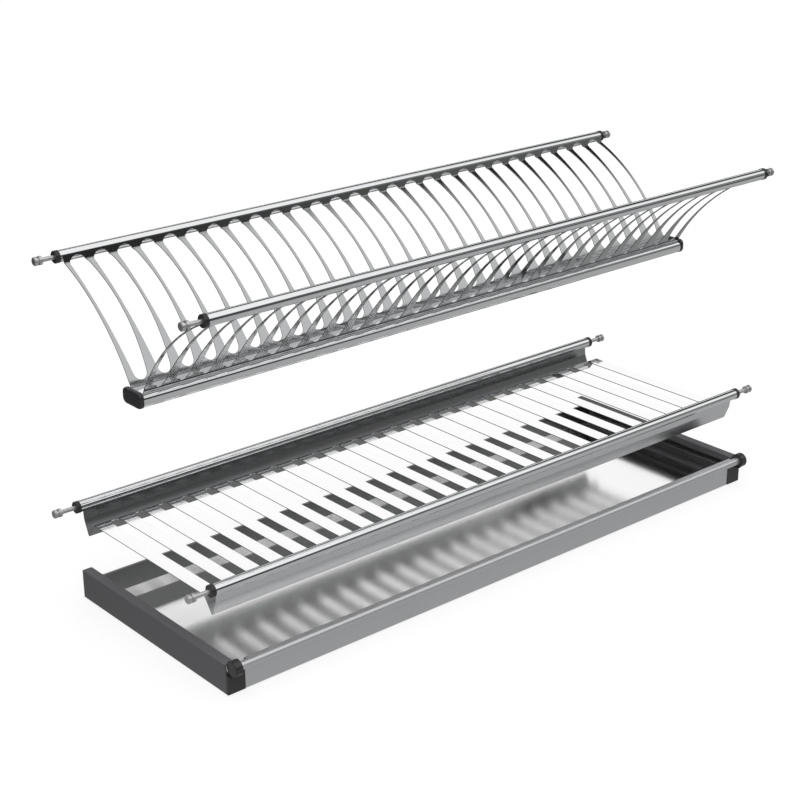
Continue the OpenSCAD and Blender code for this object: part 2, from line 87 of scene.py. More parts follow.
class Tree:
    """A node tree with one method that adds any node: its type, its settings, its inputs."""

    def __init__(self, tree):
        self.tree = tree
        tree.nodes.clear()

    def node(self, kind, settings=None, inputs=None, out=0):
        """Adds a node and returns one of its outputs. The setting "stops" fills a colour ramp."""
        made = self.tree.nodes.new(kind)
        for name, value in (settings or {}).items():
            if name == "stops":
                ramp = made.color_ramp
                while len(ramp.elements) < len(value):
                    ramp.elements.new(0.5)
                for element, (at, grey) in zip(ramp.elements, value):
                    element.position = at
                    element.color = (grey, grey, grey, 1.0)
            else:
                setattr(made, name, value)
        for name, value in (inputs or {}).items():
            if isinstance(value, Socket):
                self.tree.links.new(value.out, made.inputs[name])
            else:
                made.inputs[name].default_value = value
        return Socket(self, made.outputs[out]) if made.outputs else None

    def join(self, *parts):
        """One geometry of several."""
        made = self.tree.nodes.new("GeometryNodeJoinGeometry")
        for part in parts:
            self.tree.links.new(part.out, made.inputs[0])
        return Socket(self, made.outputs[0])

    def noise(self, scale, stretch=(1.0, 1.0, 1.0), detail=2.0, rough=0.5):
        place = self.node("ShaderNodeTexCoord", out=3)
        place = self.node("ShaderNodeMapping", None, {"Vector": place, "Scale": stretch})
        return self.node("ShaderNodeTexNoise", None, {
            "Vector": place, "Scale": scale, "Detail": detail, "Roughness": rough})

    def ramp_of(self, value, low, high, at_low, at_high):
        """A value between two limits, turned smoothly into another."""
        return self.node("ShaderNodeMapRange", {"interpolation_type": "SMOOTHSTEP"}, {
            "Value": value, "From Min": low, "From Max": high,
            "To Min": at_low, "To Max": at_high})

    def blend(self, factor, low, high):
        """A colour between two, each of them a socket or red, green and blue."""
        low, high = (c if isinstance(c, Socket) else (*c, 1.0) for c in (low, high))
        return self.node("ShaderNodeMix", {"data_type": "RGBA"}, {0: factor, 6: low, 7: high},
                         out=2)

    def tinted(self, factor, tint, low, high=1.0):
        """A colour between two shares of a tint."""
        return self.blend(factor, [low * c for c in tint], [high * c for c in tint])

    def bump(self, height, strength, distance):
        return self.node("ShaderNodeBump", None, {
            "Strength": strength, "Distance": distance, "Height": height})

    def surface(self, colour, rough, normal, metallic=0.0):
        return self.node("ShaderNodeBsdfPrincipled", None, {
            "Base Color": colour, "Metallic": metallic, "Roughness": rough, "Normal": normal})


# ---------------------------------------------------------------- finishes
# Height of the relief in the sheets and in the smaller pieces, in metres
SHEET_RELIEF, FINE_RELIEF = 0.0002, 0.0001


def new_material(name, build):
    material = bpy.data.materials.new(name)
    material.use_nodes = True
    tree = Tree(material.node_tree)
    tree.node("ShaderNodeOutputMaterial", None, {"Surface": build(tree)})
    return material


def rolled(tree, tint, rough):
    """Colour, roughness and normal of mirror-polished steel: rolling streaks and polish haze."""
    haze = tree.noise(22.0, detail=3.0)
    streak = tree.noise(1.0, stretch=(6.0, 420.0, 420.0), detail=3.0, rough=0.6)
    return (tree.tinted(haze, tint, 0.96), rough + 0.05 * haze * streak,
            tree.bump(streak, 0.015, SHEET_RELIEF))


def polished(tree, tint, rough):
    """Mirror-polished tube or sheet."""
    return tree.surface(*rolled(tree, tint, rough), metallic=1.0)


def pierced(tree, tint, rough):
    """Polished sheet with stamped windows, whose cut edges, facing X, are duller, with painted
    shade making them darker.
    """
    normal_x = tree.node("ShaderNodeSeparateXYZ", None, {0: tree.node("ShaderNodeTexCoord", out=1)})
    edge = tree.ramp_of(abs(normal_x), 0.45, 0.9, 0.0, 1.0)
    sheet, dull, normal = rolled(tree, tint, rough)
    # Painted shade: faces turned along X, the windows' edges, darkened to a quarter of the tint;
    # the added roughness is the edges' real dullness
    colour = tree.blend(edge, sheet, [0.25 * c for c in tint])
    return tree.surface(colour, dull + 0.25 * edge, normal, metallic=1.0)


def satin(tree, tint, rough):
    """Satin sheet, brushed along the tray."""
    grain = tree.noise(1.0, stretch=(9.0, 1400.0, 1400.0), detail=4.0, rough=0.65)
    cloud = tree.noise(9.0)
    return tree.surface(tree.tinted(grain, tint, 0.92), rough + 0.08 * grain + 0.05 * cloud,
                        tree.bump(grain, 0.08, SHEET_RELIEF), metallic=1.0)


def plated(tree, tint, rough):
    """Bright zinc-plated turned steel: rings from the lathe and dull patches."""
    rings = tree.noise(1.0, stretch=(2600.0, 30.0, 30.0))
    dull = tree.noise(160.0)
    return tree.surface(tree.tinted(dull, tint, 0.86), rough + 0.12 * dull,
                        tree.bump(rings, 0.08, FINE_RELIEF), metallic=1.0)


def drawn(tree, tint, rough):
    """Dark extruded plastic: fine draw lines along the profile and a little dust."""
    lines = tree.noise(1.0, stretch=(900.0, 8.0, 900.0), detail=3.0)
    dust = tree.noise(55.0, detail=4.0, rough=0.7)
    return tree.surface(tree.tinted(dust, tint, 0.85, 1.2), rough + 0.10 * lines,
                        tree.bump(lines, 0.06, FINE_RELIEF))


def moulded(tree, tint, rough):
    """Black moulded plastic: fine spark grain, slightly shiny."""
    grain = tree.noise(2300.0)
    wear = tree.noise(70.0, detail=3.0)
    return tree.surface(tree.tinted(wear, tint, 0.8, 1.3), rough + 0.14 * wear,
                        tree.bump(grain, 0.10, FINE_RELIEF))


# How each finish is made: kind of surface, colour, share of that colour, roughness
FINISHES = {
    "rail_steel": (polished, "steel", 1.06, "polish"),
    # Painted shade: the plate panels are the same polished steel as the ribs, at about half its
    # brightness
    "panel_steel": (pierced, "steel", 0.60, "polish"),
    "rib_steel": (pierced, "steel", 1.25, "polish"),
    "strip_steel": (polished, "steel", 0.95, "strip_polish"),
    # Painted shade: the cup rack's rear strip is the same steel as the front one, at half its
    # brightness
    "shaded_strip": (polished, "steel", 0.48, "strip_polish"),
    "pan_steel": (satin, "steel", 1.25, "pan_polish"),
    "wall_steel": (satin, "steel", 0.36, "strip_polish"),
    "satin_steel": (satin, "steel", 1.1, "satin"),
    "pin_steel": (plated, "steel", 1.25, "pin_shine"),
    "dark_profile": (drawn, "profile", 1.0, "profile_shine"),
    "black_plastic": (moulded, "plastic", 1.0, "plastic_shine"),
}


def finish_of(name):
    """The material of a finish, made once."""
    made = bpy.data.materials.get(name)
    if made:
        return made
    settings = bpy.context.scene.rack_finish
    kind, colour, share, rough = FINISHES[name]
    tint = tuple(min(1.0, share * c) for c in getattr(settings, colour))
    return new_material(name, lambda tree: kind(tree, tint, getattr(settings, rough)))


def dress(finish, *prefixes):
    """Gives the CAD nodes whose names start with a prefix a finish."""
    found = [node for name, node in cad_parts.items() if name.startswith(prefixes)]
    if not found:
        raise RuntimeError("no CAD node is named %s" % (prefixes,))
    for node in found:
        node.data.materials.clear()
        node.data.materials.append(finish_of(finish))


# ---------------------------------------------------------------- meshes
# Points round a tube and round a turned body, and steps in a sheet's bend
TUBE_POINTS, TURNED_POINTS, BEND_STEPS = 96, 48, 8
# Angle from which an edge is sharp, and size of what is too small to keep, in metres
SHARP, TINY = math.radians(35.0), 1e-7


def new_mesh(name, verts, faces):
    mesh = bpy.data.meshes.new(name)
    mesh.from_pydata(verts, [], faces)
    return mesh


def tidy(mesh, merge=0.0):
    """Turns the faces outwards and shades the mesh smooth, with its folds sharp."""
    work = bmesh.new()
    work.from_mesh(mesh)
    if merge:
        bmesh.ops.remove_doubles(work, verts=work.verts, dist=merge)
    bmesh.ops.dissolve_degenerate(work, edges=work.edges, dist=TINY)
    bmesh.ops.recalc_face_normals(work, faces=work.faces)
    work.to_mesh(mesh)
    work.free()
    mesh.shade_smooth()
    mesh.set_sharp_from_angle(angle=SHARP)


def piece(name, mesh, finish, replaced, body, move):
    """Turns a mesh in mm into a piece of the part that takes the place of a CAD node."""
    mesh.transform(Matrix.Diagonal((MM, MM, MM, 1)) @ move)
    tidy(mesh)
    mesh.materials.clear()
    mesh.materials.append(finish_of(finish))
    made = bpy.data.objects.new(name, mesh)
    bpy.context.collection.objects.link(made)
    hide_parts(replaced)
    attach(made, body)
    return made


def on_edge(side, y, gap, z):
    """The move that sets a shape made for the front edge on one of the edges, in mm."""
    return Matrix.Translation((0, y + side * gap / 2, z)) @ Matrix.Diagonal((1, -side, 1, 1))


def joined(name, meshes):
    """One mesh of several."""
    work = bmesh.new()
    for mesh in meshes:
        work.from_mesh(mesh)
        bpy.data.meshes.remove(mesh)
    made = bpy.data.meshes.new(name)
    work.to_mesh(made)
    work.free()
    return made


def shell(outer, inner, length, closed=True):
    """A sheet or tube along X: outer and inner lines of (Y, Z) points, equally many."""
    n = len(outer)
    verts = [(x, y, z) for x in (-length / 2, length / 2)
             for line in (outer, inner) for y, z in line]
    faces = []
    for k in range(n if closed else n - 1):
        j = (k + 1) % n
        faces += [(k, j, 2 * n + j, 2 * n + k), (n + k, n + j, 3 * n + j, 3 * n + k),
                  (k, n + k, n + j, j), (2 * n + k, 3 * n + k, 3 * n + j, 2 * n + j)]
    if not closed:
        faces += [(k, n + k, 3 * n + k, 2 * n + k) for k in (0, n - 1)]
    return new_mesh("shell", verts, faces)


def tube(radius, wall, length, y=0.0, z=0.0):
    """A round tube along X."""
    outer, inner = (
        [(y + r * math.cos(2 * math.pi * i / TUBE_POINTS),
          z + r * math.sin(2 * math.pi * i / TUBE_POINTS)) for i in range(TUBE_POINTS)]
        for r in (radius, radius - wall))
    return shell(outer, inner, length)


def box_line(w, h, r, z=0.0, n=12):
    """Points round a rectangle with round corners."""
    line = []
    for corner, (sy, sz) in enumerate(((1, 1), (-1, 1), (-1, -1), (1, -1))):
        for i in range(n + 1):
            a = math.pi / 2 * (corner + i / n)
            line.append((sy * (w / 2 - r) + r * math.cos(a),
                         z + sz * (h / 2 - r) + r * math.sin(a)))
    return line


def unit(v):
    return v / np.hypot(*v)


def bent_sheet(points, radius, sheet, length):
    """A sheet folded along a line of (Y, Z) points, with round bends."""
    points = [np.array(point, float) for point in points]
    middle = [points[0]]
    for a, b, c in zip(points, points[1:], points[2:]):
        back, on = unit(a - b), unit(c - b)
        half = math.acos(max(-1.0, min(1.0, float(back @ on)))) / 2
        reach = radius / math.tan(half)
        centre = b + unit(back + on) * radius / math.sin(half)
        first, last = b + back * reach - centre, b + on * reach - centre
        turn = math.atan2(first[0] * last[1] - first[1] * last[0], float(first @ last))
        for i in range(BEND_STEPS + 1):
            cos, sin = math.cos(turn * i / BEND_STEPS), math.sin(turn * i / BEND_STEPS)
            middle.append(centre + np.array([first[0] * cos - first[1] * sin,
                                             first[0] * sin + first[1] * cos]))
    middle.append(points[-1])
    ways = [unit(b - a) for a, b in zip(middle, middle[1:])]
    ways = [ways[0]] + [unit(a + b) for a, b in zip(ways, ways[1:])] + [ways[-1]]
    outer, inner = (
        [tuple(m + half * np.array([-w[1], w[0]])) for m, w in zip(middle, ways)]
        for half in (sheet / 2, -sheet / 2))
    return shell(outer, inner, length, closed=False)


def turned(profile):
    """A body turned about X from a closed profile of (X, radius) points."""
    n, m = TURNED_POINTS, len(profile)
    verts = [(x, r * math.cos(2 * math.pi * i / n), r * math.sin(2 * math.pi * i / n))
             for x, r in profile for i in range(n)]
    faces = [(k * n + i, k * n + (i + 1) % n, (k + 1) % m * n + (i + 1) % n, (k + 1) % m * n + i)
             for k in range(m) for i in range(n)]
    return new_mesh("turned", verts, faces)


def lofted(rings):
    """A solid through rings of (X, line of (Y, Z) points), closed at both ends."""
    n = len(rings[0][1])
    verts = [(x, y, z) for x, line in rings for y, z in line]
    faces = [(k * n + i, k * n + (i + 1) % n, (k + 1) * n + (i + 1) % n, (k + 1) * n + i)
             for k in range(len(rings) - 1) for i in range(n)]
    faces += [tuple(range(n)), tuple(range((len(rings) - 1) * n, len(rings) * n))]
    return new_mesh("lofted", verts, faces)


# ---------------------------------------------------------------- settings
def colour_of(name, what, default):
    return FloatVectorProperty(name=name, description="Colour of " + what, subtype="COLOR",
                               size=3, min=0, max=1, default=default)


def roughness_of(name, what, default):
    return FloatProperty(name=name, description="Roughness of " + what, min=0.0, max=1.0,
                         default=default)


def length_of(name, description, millimetres):
    return FloatProperty(name=name, description=description, subtype="DISTANCE", unit="LENGTH",
                         default=millimetres * MM)


def angle_of(name, description, degrees):
    return FloatProperty(name=name, description=description, subtype="ANGLE", unit="ROTATION",
                         default=math.radians(degrees))


class RackFinish(bpy.types.PropertyGroup):
    steel: colour_of("Steel", "the stainless steel", (0.80, 0.81, 0.82))
    profile: colour_of("Side profile", "the tray's side profiles", (0.022, 0.022, 0.023))
    plastic: colour_of("Plastic", "bushes and caps", (0.045, 0.045, 0.046))
    polish: roughness_of("Polish", "the polished steel", 0.07)
    pan_polish: roughness_of("Pan", "the tray's pan", 0.06)
    strip_polish: roughness_of("Strips", "the cup rack's strips and the tray's rear wall", 0.24)
    pin_shine: roughness_of("Pins", "the plated pins", 0.12)
    profile_shine: roughness_of("Profile shine", "the side profiles", 0.15)
    satin: roughness_of("Satin", "the tray's front", 0.08)
    plastic_shine: roughness_of("Plastic shine", "the plastic", 0.22)


class RackSizes(bpy.types.PropertyGroup):
    pitch: length_of("Rib pitch", "Distance from one plate rib to the next", 29)
    windows: IntProperty(name="Windows", description="Windows in each plate panel", default=28,
                         min=1)
    rib: length_of("Rib width", "Width of a plate rib at its narrowest", 3.6)
    sheet: length_of("Sheet", "Thickness of the panels, the strips and the tray's front", 1.0)
    edge: length_of("Edge", "Rounding of the ribs' edges", 0.28)
    tube: length_of("Tube", "Outside diameter of the rail tubes", 13)
    tube_wall: length_of("Tube wall", "Wall of the rail tubes", 1)
    collar: length_of("Collar", "Diameter of the bushes' collars", 13.9)
    collar_l: length_of("Collar length", "Length of the bushes' collars", 5.0)
    channel_wide: length_of("Channel width", "Width of the base channel", 33)
    channel_high: length_of("Channel height", "Height of the base channel", 14.5)
    channel_wall: length_of("Channel wall", "Wall of the base channel", 1.2)
    drain_l: length_of("Slot length", "Length of a drain slot", 15)
    drain_w: length_of("Slot width", "Width of a drain slot", 4)


class RackStage(bpy.types.PropertyGroup):
    lens: FloatProperty(name="Lens", description="Focal length of the camera in mm",
                        default=78.19)
    azimuth: angle_of("Azimuth", "Direction the camera looks, from +Y to +X", 40.234)
    elevation: angle_of("Elevation", "How far the camera looks down", 21.755)
    roll: angle_of("Roll", "Roll of the camera", -0.448)
    place: FloatVectorProperty(name="Camera", description="Place of the camera", size=3,
                               subtype="XYZ", unit="LENGTH",
                               default=(-1.2698, -1.4400, 0.9438))
    room: FloatProperty(name="Room", description="Brightness of the room", default=1.0, min=0.0)


# ---------------------------------------------------------------- plate panels, sizes in mm
# The plate rack's rails: radius, distance, middle between them, height
RAIL_R, RAIL_GAP, PLATE_Y, PLATE_Z = 6.5, 274.0, -5.0, 409.0
# A panel: the straight strip beside the rail, its slope, and the bow of the curve below it
STRIP_L, STRIP_SLOPE, BOW = 7.6, math.radians(78), math.radians(37)
# The panels' feet: their distance, and the solids' channel that they stand on: height, depth of
# its middle below the rails
FEET_GAP, CHANNEL_H, DROP = 22.0, 17.0, 121.0
# A window: radius of its top, its foot and its long sides, and the band left below it
TOP_R, FOOT_R, SIDE_R, FOOT_BAND = 10.9, 8.0, 800.0, 5.5
# Rows of the mesh: steps down the strip, steps round the crease, rows down the curve
STRIP_STEPS, CREASE_STEPS, CURVE_ROWS = 10, 5, 41
# More rows where a window starts, as shares of the strip, and where it ends, as shares of a length
WINDOW_START = (0.0, 0.01, 0.03)
WINDOW_END = (0.0, 0.004, 0.015, 0.034, 0.06, 0.095, 0.14, 0.20, 0.28, 0.38, 0.5, 0.65, 0.82)
WINDOW_END_L = 12.0
# Halvings in the search for a window's end
HALVINGS = 60
# Columns across half a rib, as shares of it, before the two of its rounded edge
COLUMNS = (0.0, 0.45, 0.8)
# Half window from which an edge is fully rounded, and from which a window is open
FULL_EDGE, OPEN = 1.5, 1e-6
# Distance within which the copies' points are one, in metres
WELD = 2e-6


def panel_section(sheet):
    """A panel's middle line in (inwards, upwards) mm from its rail: start, crease, the curve's
    centre and radius, and its chord's length, slope and direction."""
    start = np.array([math.sin(STRIP_SLOPE), math.cos(STRIP_SLOPE)]) * (RAIL_R + sheet / 2)
    crease = start + STRIP_L * np.array([math.cos(STRIP_SLOPE), -math.sin(STRIP_SLOPE)])
    foot = np.array([(RAIL_GAP - FEET_GAP) / 2, CHANNEL_H / 2 - DROP])
    span = foot - crease
    chord = float(np.hypot(*span))
    down = math.atan2(-span[1], span[0])
    radius = chord / (2 * math.sin(BOW / 2))
    to_middle = radius * math.cos(BOW / 2) * np.array([math.sin(down), math.cos(down)])
    return start, crease, (crease + foot) / 2 - to_middle, radius, chord, down, span / chord


def window_half(c, chord, pitch, rib):
    """Half the width of a window at a place along the chord, 0 outside it, and its two ends."""
    off = SIDE_R - (pitch - rib) / 2
    reach_top = math.sqrt((SIDE_R - TOP_R) ** 2 - off**2)
    reach_foot = math.sqrt((SIDE_R - FOOT_R) ** 2 - off**2)
    foot_c = chord - FOOT_BAND - FOOT_R
    mid = foot_c - reach_foot
    top_c = mid - reach_top
    ends = (top_c - TOP_R, foot_c + FOOT_R)
    if c <= ends[0] or c >= ends[1]:
        return 0.0, ends
    if c < top_c - TOP_R * reach_top / (SIDE_R - TOP_R):
        return math.sqrt(max(0.0, TOP_R**2 - (c - top_c) ** 2)), ends
    if c > foot_c + FOOT_R * reach_foot / (SIDE_R - FOOT_R):
        return math.sqrt(max(0.0, FOOT_R**2 - (c - foot_c) ** 2)), ends
    return math.sqrt(SIDE_R**2 - (c - mid) ** 2) - off, ends


def panel_rows(pitch, rib, sheet):
    """Rows (inwards, upwards, slope, half window) from the rail to the foot, in mm, close
    together at the window's ends."""
    start, crease, centre, radius, chord, down, along = panel_section(sheet)

    def chord_of(point):
        return float(np.dot(point - crease, along))

    def on_curve(slope):
        return centre + radius * np.array([math.sin(slope), math.cos(slope)])

    def row(point, slope):
        return point[0], point[1], slope, window_half(chord_of(point), chord, pitch, rib)[0]

    first, last = window_half(0, chord, pitch, rib)[1]
    strip = [start + (crease - start) * i / STRIP_STEPS for i in range(STRIP_STEPS + 1)]
    upper, lower = chord_of(strip[0]), chord_of(strip[-1])
    share = (first - upper) / (lower - upper)
    if 0 < share < 1:
        strip += [start + (crease - start) * (share + more) for more in WINDOW_START]
    strip.sort(key=lambda point: -point[1])
    rows = [row(point, STRIP_SLOPE) for point in strip[:-1]]

    top, foot = down - BOW / 2, down + BOW / 2
    rows += [row(crease, STRIP_SLOPE + (top - STRIP_SLOPE) * i / CREASE_STEPS)
             for i in range(1, CREASE_STEPS)]

    low, high = top, foot
    for _ in range(HALVINGS):
        mid = (low + high) / 2
        if chord_of(on_curve(mid)) < last:
            low = mid
        else:
            high = mid
    end = (low + high) / 2
    fine = [end - f * WINDOW_END_L / radius for f in WINDOW_END]
    even = [top + (foot - top) * f for f in np.linspace(0, 1, CURVE_ROWS)]
    curve = sorted(set([a for a in even if a < min(fine) or a > end] + fine))
    return rows + [row(on_curve(a), a) for a in curve]


def bay_mesh(name, pitch, rib, sheet, edge, outer=None):
    """One bay of a panel in metres, from the middle of a rib to the middle of the next, with
    inwards = +Y. With outer, the plain outer half of an end rib, that wide in mm, instead."""
    rows = panel_rows(pitch, rib, sheet)
    plain = outer is not None
    sides = (1,) if plain else (0, 1)
    n, last = len(rows), len(COLUMNS) + 1
    verts, faces, grid = [], [], {}
    for i, (u, v, slope, half) in enumerate(rows):
        if plain:
            border, e = outer, min(edge, outer / 3)
        else:
            border, e = pitch / 2 - half, edge * min(1.0, half / FULL_EDGE)
        xs = [border * c for c in COLUMNS] + [border - e, border]
        lifts = [sheet / 2] * last + [sheet / 2 - e]
        for side in sides:
            for j, (x, lift) in enumerate(zip(xs, lifts)):
                x = pitch - x if side and not plain else x
                for face, up in enumerate((lift, -lift)):
                    grid[side, i, j, face] = len(verts)
                    verts.append((x * MM, (u + up * math.sin(slope)) * MM,
                                  (v + up * math.cos(slope)) * MM))
    for side in sides:
        for i in range(n - 1):
            for j in range(last):
                for face in (0, 1):
                    faces.append([grid[side, i, j, face], grid[side, i + 1, j, face],
                                  grid[side, i + 1, j + 1, face], grid[side, i, j + 1, face]])
            if plain or rows[i][3] > OPEN or rows[i + 1][3] > OPEN:
                faces.append([grid[side, i, last, 0], grid[side, i + 1, last, 0],
                              grid[side, i + 1, last, 1], grid[side, i, last, 1]])
        for i in (0, n - 1):
            for j in range(last):
                faces.append([grid[side, i, j, 0], grid[side, i, j + 1, 0],
                              grid[side, i, j + 1, 1], grid[side, i, j, 1]])
    mesh = new_mesh(name, verts, faces)
    mesh.validate()
    return mesh


def row_tree(name):
    """A node group that sets copies of a bay side by side, adds the two outer halves and gives
    them a finish."""
    group = bpy.data.node_groups.new(name, "GeometryNodeTree")
    face = group.interface
    face.new_socket("Geometry", in_out="INPUT", socket_type="NodeSocketGeometry")
    for label, kind in (("Bay", "NodeSocketObject"), ("Ends", "NodeSocketObject"),
                        ("Count", "NodeSocketInt"), ("Pitch", "NodeSocketFloat"),
                        ("Finish", "NodeSocketMaterial")):
        face.new_socket(label, in_out="INPUT", socket_type=kind)
    face.new_socket("Geometry", in_out="OUTPUT", socket_type="NodeSocketGeometry")
    tree = Tree(group)
    outputs = group.nodes.new("NodeGroupInput").outputs
    bay, ends, count, pitch, finish = (
        Socket(tree, outputs[label]) for label in ("Bay", "Ends", "Count", "Pitch", "Finish"))
    bay, ends = (tree.node("GeometryNodeObjectInfo", None, {"Object": each}, out="Geometry")
                 for each in (bay, ends))
    start = tree.node("ShaderNodeCombineXYZ", None, {0: count * -0.5 * pitch})
    step = tree.node("ShaderNodeCombineXYZ", None, {0: pitch})
    line = tree.node("GeometryNodeMeshLine", None, {
        "Count": count, "Start Location": start, "Offset": step})
    copies = tree.node("GeometryNodeInstanceOnPoints", None, {"Points": line, "Instance": bay})
    real = tree.node("GeometryNodeRealizeInstances", None, {"Geometry": tree.join(ends, copies)})
    weld = tree.node("GeometryNodeMergeByDistance", None, {"Geometry": real, "Distance": WELD})
    paint = tree.node("GeometryNodeSetMaterial", None, {"Geometry": weld, "Material": finish})
    tree.node("NodeGroupOutput", None, {0: paint})
    return group


def baked(name, group, values):
    """Runs a node group on an empty mesh and returns the result as a plain object."""
    holder = bpy.data.objects.new(name + "_maker", bpy.data.meshes.new(name + "_maker"))
    bpy.context.collection.objects.link(holder)
    modifier = holder.modifiers.new("rows", "NODES")
    modifier.node_group = group
    for item in group.interface.items_tree:
        if item.in_out == "INPUT" and item.name in values:
            modifier[item.identifier] = values[item.name]
    holder.update_tag()
    bpy.context.view_layer.update()
    graph = bpy.context.evaluated_depsgraph_get()
    mesh = bpy.data.meshes.new_from_object(holder.evaluated_get(graph))
    holder.modifiers.clear()
    bpy.data.objects.remove(holder)
    made = bpy.data.objects.new(name, mesh)
    bpy.context.collection.objects.link(made)
    return made


class RACK_OT_plate_panels(bpy.types.Operator):
    """Makes the two ribbed panels of the plate rack, with rounded rib edges"""

    bl_idname = "rack.plate_panels"
    bl_label = "Plate panels"

    def execute(self, context):
        size = context.scene.rack_sizes
        measures = [v / MM for v in (size.pitch, size.rib, size.sheet, size.edge)]
        rib = measures[1]
        bay = bpy.data.objects.new("bay", bay_mesh("bay", *measures))
        half = bay_mesh("outer_half", *measures, outer=rib / 2)
        halves = []
        for sign in END.values():
            halves.append(half.copy())
            halves[-1].transform(
                Matrix.Translation((sign * size.pitch * size.windows / 2, 0, 0))
                @ Matrix.Diagonal((sign, 1, 1, 1)))
        ends = bpy.data.objects.new("ends", joined("ends", halves))
        for helper in (bay, ends):
            context.collection.objects.link(helper)
        group = row_tree("panel_row")
        for place, side in EDGE.items():
            # The panels take the darker copy of the polished steel: painted shade
            made = baked("plate_%s_panel" % place, group, {
                "Bay": bay, "Ends": ends, "Count": size.windows, "Pitch": size.pitch,
                "Finish": finish_of("panel_steel")})
            flip = Matrix.Diagonal((1, -side, 1, 1))
            move = Matrix.Translation((0, (PLATE_Y + side * RAIL_GAP / 2) * MM, PLATE_Z * MM))
            made.data.transform(move @ flip)
            tidy(made.data, merge=WELD)
            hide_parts("plate_%s_ribs" % place)
            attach(made, "plate_rack")
        for helper in (bay, ends):
            bpy.data.objects.remove(helper)
        return {"FINISHED"}


# ---------------------------------------------------------------- rails and bushes, sizes in mm
# The racks: name, middle, distance of the rails, height of the rails, length of the rails
RACKS = (("plate", PLATE_Y, RAIL_GAP, PLATE_Z, 820.0), ("cup", 6.0, 262.6, 115.5, 814.0))
# A bush: length of its plug in the tube and the plug's play, bore, rounding of the collar's edge
PLUG_L, PLUG_PLAY, BUSH_BORE, BUSH_EDGE = 8.0, 0.05, 2.55, 0.5
# The groove round the collar: its corners' distances from the tube's end, and its depth
GROOVE, GROOVE_DEEP = (1.9, 2.2, 3.0, 3.3), 0.35


def bush_profile(tube_end, tube_bore, collar_r, collar_l):
    """Closed line of (X, radius) round a bush at the tube's right end."""
    plug = tube_end - PLUG_L
    last = tube_end + collar_l
    groove = [(tube_end + along, collar_r - deep)
              for along, deep in zip(GROOVE, (0.0, GROOVE_DEEP, GROOVE_DEEP, 0.0))]
    return [(plug, BUSH_BORE), (plug, tube_bore - PLUG_PLAY), (tube_end, tube_bore - PLUG_PLAY),
            (tube_end, collar_r), *groove, (last - BUSH_EDGE, collar_r),
            (last, collar_r - BUSH_EDGE), (last, BUSH_BORE + BUSH_EDGE),
            (last - BUSH_EDGE, BUSH_BORE)]


class RACK_OT_rails(bpy.types.Operator):
    """Makes the four rail tubes and the bushes in their ends"""

    bl_idname = "rack.rails"
    bl_label = "Rails and bushes"

    def execute(self, context):
        size = context.scene.rack_sizes
        radius, wall = size.tube / MM / 2, size.tube_wall / MM
        collar_r, collar_l = size.collar / MM / 2, size.collar_l / MM
        for rack, y, gap, z, length in RACKS:
            body = rack + "_rack"
            for place, side in EDGE.items():
                move = on_edge(side, y, gap, z)
                piece("%s_%s_tube" % (rack, place), tube(radius, wall, length), "rail_steel",
                      "%s_%s_rail" % (rack, place), body, move)
                for end, way in END.items():
                    bush = turned(bush_profile(length / 2, radius - wall, collar_r, collar_l))
                    piece("%s_%s_%s_bush" % (rack, place, end), bush, "black_plastic",
                          "%s_bush_%s_%s" % (rack, place, end), body,
                          move @ Matrix.Diagonal((way, 1, 1, 1)))
        return {"FINISHED"}


# ---------------------------------------------------------------- base channel, sizes in mm
# Length of the channel and radius of its corners
CHANNEL_L, CHANNEL_R = 820.0, 5.5
# Section of a lip on the channel: (from the channel's middle, above its top)
LIP = ((12.0, -1.0), (12.0, 0.9), (12.9, 0.7), (13.1, -1.0))
# How much wider and higher than the channel a cap is, how much rounder, and how far it sits up
CAP_WIDER, CAP_HIGHER, CAP_ROUNDER, CAP_UP = 1.6, 3.0, 0.8, 1.0
# A cap's rings: (distance from the channel's end, how much smaller than its full section)
CAP_RINGS = ((0.0, 0.4), (0.3, 0.0), (3.2, 0.0), (4.2, 0.7), (4.7, 2.0), (5.0, 4.6))
# A drain slot: half depth of the cutter, what its ends lack to a full round, steps in a corner
CUT_HALF, SLOT_FLAT, SLOT_STEPS = 3.0, 0.01, 6


